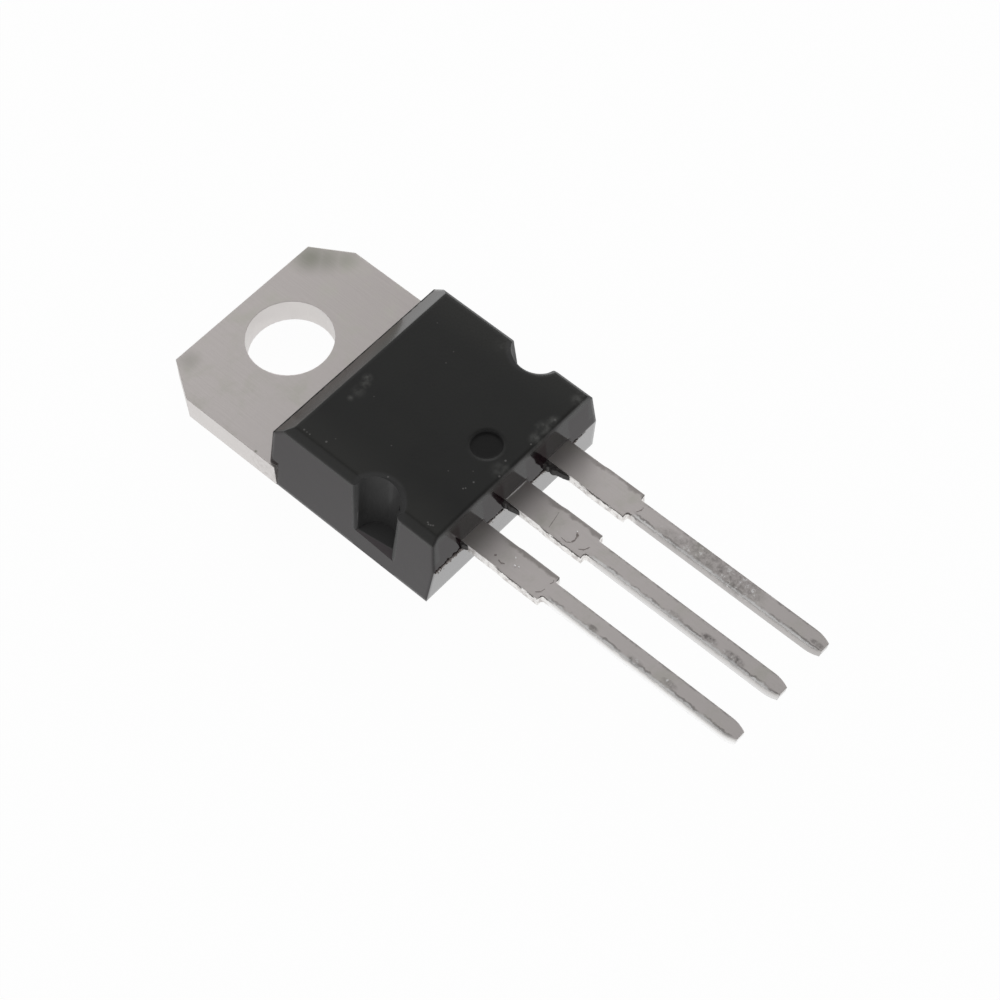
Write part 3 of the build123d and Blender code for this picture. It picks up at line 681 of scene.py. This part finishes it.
def ragged_bead():
    """Nodes that sweep a torn bead along each path. A path point's radius thins or thickens it."""
    tree, given = open_tree("ragged_bead", ("Radius", "Raggedness", "Grain", "Seed"))
    # The path is cut finely enough that each grain spans about three rings.
    pace = add(tree, MATH, {0: given["Grain"], 1: 0.35}, operation="MULTIPLY")
    path = add(tree, "GeometryNodeResampleCurve", {"Curve": given["Path"], "Length": pace}, mode="LENGTH")
    # The bead's width swells and shrinks by the raggedness, from one grain to the next.
    fineness = add(tree, MATH, {0: 1.0, 1: given["Grain"]}, operation="DIVIDE")
    place = add(tree, "GeometryNodeInputPosition")
    torn = add(tree, NOISE, {"Vector": place, "W": given["Seed"], "Scale": fineness, "Detail": 2.0},
               noise_dimensions="4D")
    least = add(tree, MATH, {0: 1.0, 1: given["Raggedness"]}, operation="SUBTRACT")
    most = add(tree, MATH, {0: 1.0, 1: given["Raggedness"]}, operation="ADD")
    torn = add(tree, RANGE, {0: torn, 1: 0.3, 2: 0.7, 3: least, 4: most})
    width = add(tree, MATH, {0: torn, 1: given["Radius"]}, operation="MULTIPLY")
    width = add(tree, MATH, {0: width, 1: add(tree, "GeometryNodeInputRadius")}, operation="MULTIPLY")
    ring = add(tree, "GeometryNodeCurvePrimitiveCircle", {"Resolution": 7, "Radius": 1.0})
    bead = add(tree, "GeometryNodeCurveToMesh",
               {"Curve": path, "Profile Curve": ring, "Scale": width, "Fill Caps": True})
    # Then each point of it is pushed a little way at random.
    rough = add(tree, NOISE, {"Vector": place, "W": given["Seed"], "Scale": fineness, "Detail": 1.0},
                noise_dimensions="4D")
    shift = add(tree, VECTOR_MATH, {0: rough.outputs["Color"], 1: (0.5, 0.5, 0.5)}, operation="SUBTRACT")
    push = add(tree, MATH, {0: given["Radius"], 1: given["Raggedness"]}, operation="MULTIPLY")
    shift = add(tree, VECTOR_MATH, {0: shift, "Scale": push}, operation="SCALE")
    bead = add(tree, "GeometryNodeSetPosition", {"Geometry": bead, "Offset": shift})
    close_tree(tree, bead, given["Material"])
    return tree


def crumbs():
    """Nodes that scatter broken grains along each path. A path point's radius sizes them."""
    tree, given = open_tree("crumbs", ("Spacing", "Size", "Spread", "Seed"))
    spots = add(tree, "GeometryNodeCurveToPoints", {"Curve": given["Path"], "Length": given["Spacing"]},
                mode="LENGTH")
    back = add(tree, MATH, {0: given["Spread"], 1: -1.0}, operation="MULTIPLY")
    stray = add(tree, "FunctionNodeRandomValue", {0: back, 1: given["Spread"], "Seed": given["Seed"]},
                data_type="FLOAT_VECTOR")
    spots = add(tree, "GeometryNodeSetPosition", {"Geometry": spots, "Offset": stray})
    grain = add(tree, "GeometryNodeMeshIcoSphere", {"Radius": 1.0, "Subdivisions": 1})
    turn = add(tree, "FunctionNodeRandomValue", {0: (0, 0, 0), 1: (math.tau,) * 3, "Seed": given["Seed"]},
               data_type="FLOAT_VECTOR")
    # A grain is up to about three times as long as it is thick.
    shape = add(tree, "FunctionNodeRandomValue", {0: (0.3, 0.3, 0.3), 1: (1, 1, 1), "Seed": given["Seed"]},
                data_type="FLOAT_VECTOR")
    size = add(tree, MATH, {0: given["Size"], 1: add(tree, "GeometryNodeInputRadius")}, operation="MULTIPLY")
    size = add(tree, VECTOR_MATH, {0: shape, "Scale": size}, operation="SCALE")
    grains = add(tree, "GeometryNodeInstanceOnPoints",
                 {"Points": spots, "Instance": grain, "Rotation": turn, "Scale": size})
    close_tree(tree, grains, given["Material"])
    return tree


def settle(name, mesh):
    """Adds a finished mesh as a piece of the part."""
    piece = bpy.data.objects.new(name, mesh)
    bpy.context.collection.objects.link(piece)
    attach(piece, "root")


def grow(name, tree, paths, sizes, seed, material):
    """Runs a tree along paths, in millimetres, and keeps the plain mesh as a piece."""
    inputs = {**sizes, "Seed": seed, "Material": material}
    curve = bpy.data.curves.new(name + "_path", "CURVE")
    curve.dimensions = "3D"
    for path in paths:
        spline = curve.splines.new("POLY")
        spline.points.add(len(path) - 1)
        for point, (place, radius) in zip(spline.points, path):
            point.co = (*(Vector(place) * MM), 1.0)
            point.radius = radius
    source = bpy.data.objects.new(name + "_path", curve)
    bpy.context.collection.objects.link(source)
    modifier = source.modifiers.new(name, "NODES")
    modifier.node_group = tree
    for socket in tree.interface.items_tree:
        if socket.name in inputs:
            modifier[socket.identifier] = inputs[socket.name]
    evaluated = source.evaluated_get(bpy.context.evaluated_depsgraph_get())
    mesh = bpy.data.meshes.new_from_object(evaluated)
    bpy.data.objects.remove(source)
    settle(name, mesh)


def resin_films_and_reflection(material):
    """Films of resin left on one side of each lead, thick at the body and torn to nothing. They also stand
    for the body's dark reflection in each lead's side: a painted reflection.
    """
    mesh = bpy.data.meshes.new("resin_films_and_reflection")
    points, faces = [], []
    for centre, length, width in FILMS:
        first = len(points)
        edge = centre - LEAD_HALF
        for step in range(FILM_STATIONS + 1):
            # Each station is a thin upright box section, which starts a little way inside the body.
            share = step / FILM_STATIONS
            along = END + FILM_ROOT - (length + FILM_ROOT) * share
            torn = 1 + FILM_WAVER * noise.noise(Vector((along * FILM_WAVES, centre, 3.1)))
            out = width * (1 - share) ** 0.6 * torn
            top = LEAD_TOP - 0.01 - 0.06 * share * torn
            bottom = LEAD_BOTTOM - 0.02 + 0.10 * share * torn
            for x, z in ((edge + 0.03, top), (edge - out, top - 0.03), (edge - out, bottom + 0.03),
                         (edge + 0.03, bottom)):
                points.append(Vector((x, along, z)) * MM)
        for step in range(FILM_STATIONS):
            near = first + 4 * step
            for side in range(4):
                after = (side + 1) % 4
                faces.append((near + side, near + 4 + side, near + 4 + after, near + after))
        faces.append((first, first + 1, first + 2, first + 3))
        last = first + 4 * FILM_STATIONS
        faces.append((last + 3, last + 2, last + 1, last))
    mesh.from_pydata(points, [], faces)
    mesh.materials.append(material)
    settle("resin_films_and_reflection", mesh)


def end_wall_runs(outward, down):
    """The flash runs as paths: this far off the end wall, and this far below the leads' underside."""
    return [[((x, END - outward, LEAD_BOTTOM - down), size) for x, size in run] for run in FLASH_RUNS]


def lead_top_marks(marks):
    """Marks on the leads as paths on their top faces."""
    return [[((x, y, LEAD_TOP), size) for x, y, size in mark] for mark in marks]


film_and_reflection = resin_flash("black_epoxy_film_and_reflection", "#262424", "#4a4746")
# The parting flash and its crumbs are tinted paler than the resin is: painted light that lifts them out of
# the shade under the end wall.
flash_with_painted_light = resin_flash("torn_epoxy_flash_and_painted_light", "#6b6460", "#b0a9a6")
bruise = plain_metal("bruised_tin", "#99928f", 0.5)
bright = plain_metal("burnished_tin", "#ffffff", 0.5)
bead_tree = ragged_bead()
crumb_tree = crumbs()
resin_films_and_reflection(film_and_reflection)
grow("parting_flash", bead_tree, end_wall_runs(0.01, 0.05), FLASH_BEAD, 3.0, flash_with_painted_light)
grow("parting_crumbs", crumb_tree, end_wall_runs(0.03, 0.12), CRUMBS, 5.0, flash_with_painted_light)
grow("tool_marks", bead_tree, lead_top_marks(TOOL_MARKS), TOOL_BEAD, 7.0, bruise)
grow("tool_burrs", bead_tree, lead_top_marks(TOOL_BURRS), TOOL_BEAD, 9.0, bright)


# ---- Floor, light and camera -------------------------------------------------------------------

FLOOR_HALF = 600 * MM
FLOOR_DROP = 0.01 * MM
FLOOR_GLOW = 0.97
# The level direction in which the surround is brightest, how far along it the surround turns from
# dim to bright, and its greys at both ends. Then the height at which the ceiling sets in, and the
# share of those greys that it keeps. The lamp stands half a metre off.
BRIGHT_WAY = (0.788, 0.616, 0.0)
WALL_TURN = (-1.16, 0.07)
WALL_GREYS = (0.60, 0.89)
CEILING_EDGE = (0.74, 0.80)
CEILING_SHARE = 0.24
LAMP_DISTANCE = 0.5
# The point that the camera looks at, its heading, drop and roll in degrees, how far off it stands and
# its lens.
AIM = Vector((-0.67, -12.52, 2.5)) * MM
VIEW_HEADING = 43.898
VIEW_DROP = 57.66
VIEW_ROLL = -1.98
VIEW_DISTANCE = 109.75 * MM
LENS = 99.43


def background_rays(tree):
    """1 for rays from the camera and for mirrored or passing rays, and 0 for light that scatters."""
    path = add(tree, "ShaderNodeLightPath")
    seen = add(tree, MATH, {0: path.outputs["Is Camera Ray"], 1: path.outputs["Is Glossy Ray"]},
               operation="MAXIMUM")
    return add(tree, MATH, {0: seen, 1: path.outputs["Is Transmission Ray"]}, operation="MAXIMUM")


def white_floor():
    """A white table top that keeps a faint shadow of the object."""
    mesh = bpy.data.meshes.new("table_top")
    corners = [(-FLOOR_HALF, -FLOOR_HALF, 0), (FLOOR_HALF, -FLOOR_HALF, 0),
               (FLOOR_HALF, FLOOR_HALF, 0), (-FLOOR_HALF, FLOOR_HALF, 0)]
    mesh.from_pydata(corners, [], [(0, 1, 2, 3)])
    floor = bpy.data.objects.new("table_top", mesh)
    bpy.context.collection.objects.link(floor)
    floor.location.z = -FLOOR_DROP
    material = bpy.data.materials.new("white_table")
    material.use_nodes = True
    tree = material.node_tree
    tree.nodes.clear()
    lit = add(tree, "ShaderNodeBsdfDiffuse", {"Color": colour("#f7f7f7")})
    glow = add(tree, "ShaderNodeEmission", {"Strength": 1.0})
    share = add(tree, MATH, {0: background_rays(tree), 1: FLOOR_GLOW}, operation="MULTIPLY")
    both = add(tree, "ShaderNodeMixShader", {0: share, 1: lit, 2: glow})
    add(tree, "ShaderNodeOutputMaterial", {"Surface": both})
    mesh.materials.append(material)


def studio_dome():
    """A pale surround, a little brighter behind the object, under a darker ceiling."""
    world = bpy.data.worlds.new("studio_dome")
    bpy.context.scene.world = world
    world.use_nodes = True
    tree = world.node_tree
    tree.nodes.clear()
    direction = add(tree, "ShaderNodeTexCoord").outputs["Generated"]
    along = add(tree, VECTOR_MATH, {0: direction, 1: BRIGHT_WAY}, operation="DOT_PRODUCT").outputs["Value"]
    height = add(tree, SPLIT, {0: direction}).outputs["Z"]
    walls = add(tree, RANGE,
                {0: along, 1: WALL_TURN[0], 2: WALL_TURN[1], 3: WALL_GREYS[0], 4: WALL_GREYS[1]}, **SOFT)
    ceiling = add(tree, RANGE,
                  {0: height, 1: CEILING_EDGE[0], 2: CEILING_EDGE[1], 3: 1.0, 4: CEILING_SHARE}, **SOFT)
    grey = add(tree, MATH, {0: walls, 1: ceiling}, operation="MULTIPLY")
    light = add(tree, "ShaderNodeBackground", {"Color": grey})
    add(tree, "ShaderNodeOutputWorld", {"Surface": light})


def soft_lamp(name, azimuth, elevation, size, watts):
    """A square softbox that looks at the object from a given direction."""
    lamp = bpy.data.lights.new(name, "AREA")
    lamp.size = size
    lamp.energy = watts
    box = bpy.data.objects.new(name, lamp)
    bpy.context.collection.objects.link(box)
    along = math.radians(azimuth)
    up = math.radians(elevation)
    way = Vector((math.cos(up) * math.cos(along), math.cos(up) * math.sin(along), math.sin(up)))
    box.location = way * LAMP_DISTANCE
    box.rotation_euler = way.to_track_quat("Z", "Y").to_euler()


def set_camera():
    """A long lens that looks down on the part from beyond the lead tips."""
    camera = bpy.data.cameras.new("camera")
    camera.lens = LENS
    camera.sensor_width = 36.0
    camera.clip_start = 1 * MM
    camera.clip_end = 10.0
    eye = bpy.data.objects.new("camera", camera)
    bpy.context.collection.objects.link(eye)
    heading = math.radians(VIEW_HEADING)
    drop = math.radians(VIEW_DROP)
    level_share = math.cos(drop)
    forward = Vector((level_share * math.cos(heading), level_share * math.sin(heading), -math.sin(drop)))
    level = forward.cross(Vector((0, 0, 1))).normalized()
    turn = Matrix.Rotation(math.radians(-VIEW_ROLL), 4, forward)
    right = turn @ level
    up = right.cross(forward)
    place = Matrix.Identity(4)
    for row in range(3):
        place[row][0] = right[row]
        place[row][1] = up[row]
        place[row][2] = -forward[row]
    place.translation = AIM - forward * VIEW_DISTANCE
    eye.matrix_world = place
    bpy.context.scene.camera = eye


white_floor()
studio_dome()
soft_lamp("back_softbox", azimuth=42.5, elevation=27.3, size=0.156, watts=0.385)
set_camera()
bpy.context.scene.view_settings.view_transform = "Standard"
